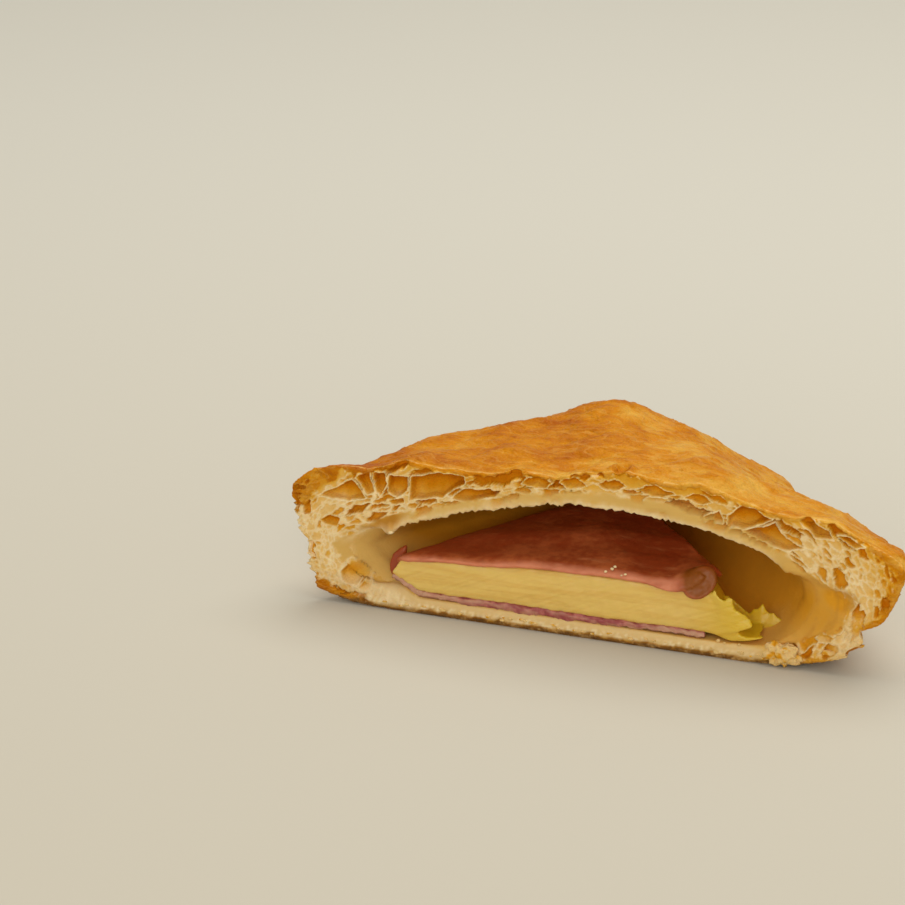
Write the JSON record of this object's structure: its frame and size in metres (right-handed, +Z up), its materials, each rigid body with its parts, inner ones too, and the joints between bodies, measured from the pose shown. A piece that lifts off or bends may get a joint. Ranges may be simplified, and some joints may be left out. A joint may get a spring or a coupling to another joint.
{
  "type": "ham and cheese puff pastry half",
  "caption": "Half of a square puff pastry, cut corner to corner, with ham and melted cheese in a hollow under a flaky golden crust.",
  "frame": {"origin": "on the flat underside that the pastry rests on, 20 mm behind the cut and halfway along its lower edge", "axes": "+X along the cut, from its left end to its right end as the cut face is seen; +Y from the cut towards the far corner; +Z up"},
  "size_m": [0.1218, 0.0626, 0.038],
  "materials": {
    "pastry": "baked puff pastry: glazed golden brown outside, cream crumb on the cut face",
    "lower_ham": "cooked ham, moist",
    "cheese": "melted yellow cheese, soft satin",
    "upper_ham": "cooked ham, moist satin"
  },
  "bodies": {
    "root": {"pastry": "pastry", "lower_ham": "lower_ham", "cheese": "cheese", "upper_ham": "upper_ham"}
  },
  "joints": []
}
